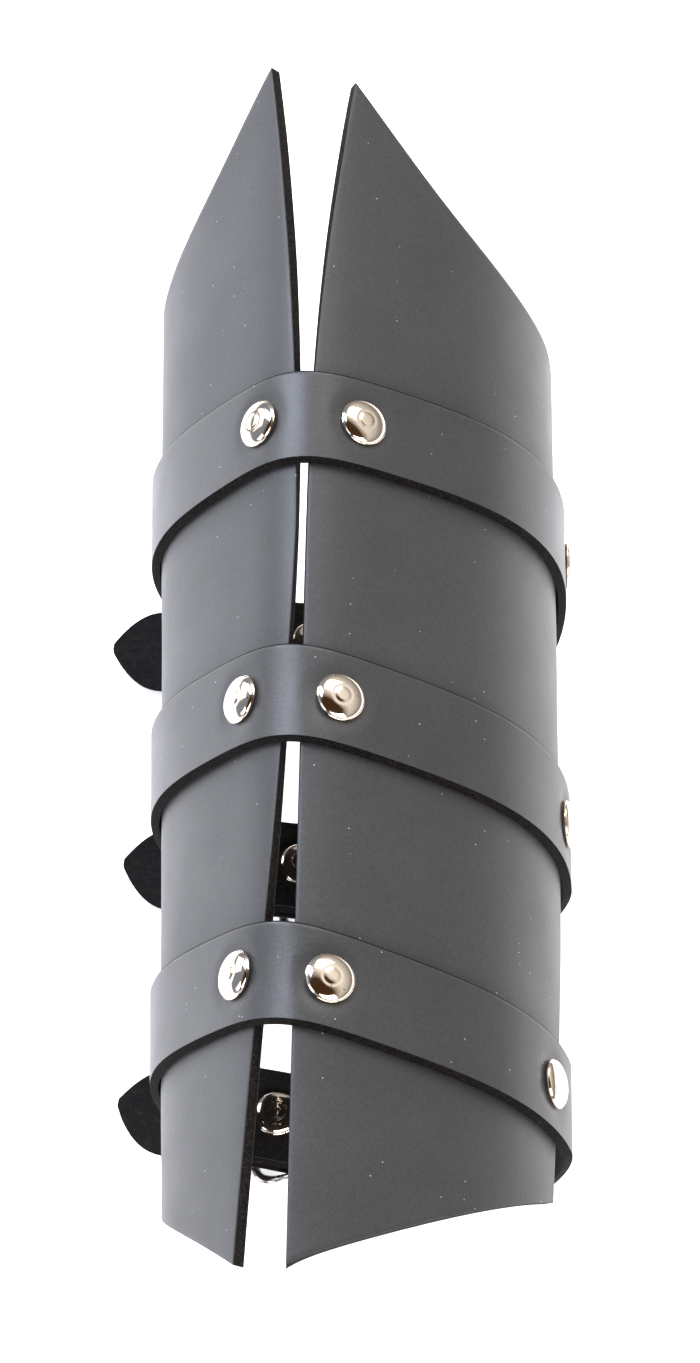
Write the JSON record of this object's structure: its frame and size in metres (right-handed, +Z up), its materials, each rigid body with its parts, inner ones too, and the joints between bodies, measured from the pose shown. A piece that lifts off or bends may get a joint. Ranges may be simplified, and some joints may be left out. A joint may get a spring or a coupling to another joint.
{
  "type": "forearm gauntlet",
  "caption": "Black leather forearm gauntlet: curved plates set side by side with a narrow gap, joined by riveted straps that wrap round and buckle at the back.",
  "frame": {"origin": "on the table, under the middle of the box round the whole gauntlet", "axes": "+Y along the arm toward the elbow, +X to the viewer's right as in the picture, +Z up out of the table, through the gap between the plates"},
  "size_m": [0.0978, 0.2568, 0.1118],
  "materials": {
    "plate_leather": "matte black, smooth grain, dark cut edges",
    "strap_leather": "satin black, smooth grain, dark cut edges",
    "nickel_caps": "polished nickel domes, lightly scratched",
    "nickel_wire": "polished nickel wire"
  },
  "bodies": {
    "root": {"buckle_elbow": "nickel_wire", "buckle_middle": "nickel_wire", "buckle_wrist": "nickel_wire", "plate_left": "plate_leather", "plate_right": "plate_leather", "rivet_elbow_fold": "nickel_caps", "rivet_elbow_front_left": "nickel_caps", "rivet_elbow_front_right": "nickel_caps", "rivet_elbow_side_left": "nickel_caps", "rivet_elbow_side_right": "nickel_caps", "rivet_middle_fold": "nickel_caps", "rivet_middle_front_left": "nickel_caps", "rivet_middle_front_right": "nickel_caps", "rivet_middle_side_left": "nickel_caps", "rivet_middle_side_right": "nickel_caps", "rivet_wrist_fold": "nickel_caps", "rivet_wrist_front_left": "nickel_caps", "rivet_wrist_front_right": "nickel_caps", "rivet_wrist_side_left": "nickel_caps", "rivet_wrist_side_right": "nickel_caps", "strap_elbow": "strap_leather", "strap_middle": "strap_leather", "strap_wrist": "strap_leather", "tongue_elbow": "nickel_wire", "tongue_middle": "nickel_wire", "tongue_wrist": "nickel_wire"}
  },
  "joints": []
}
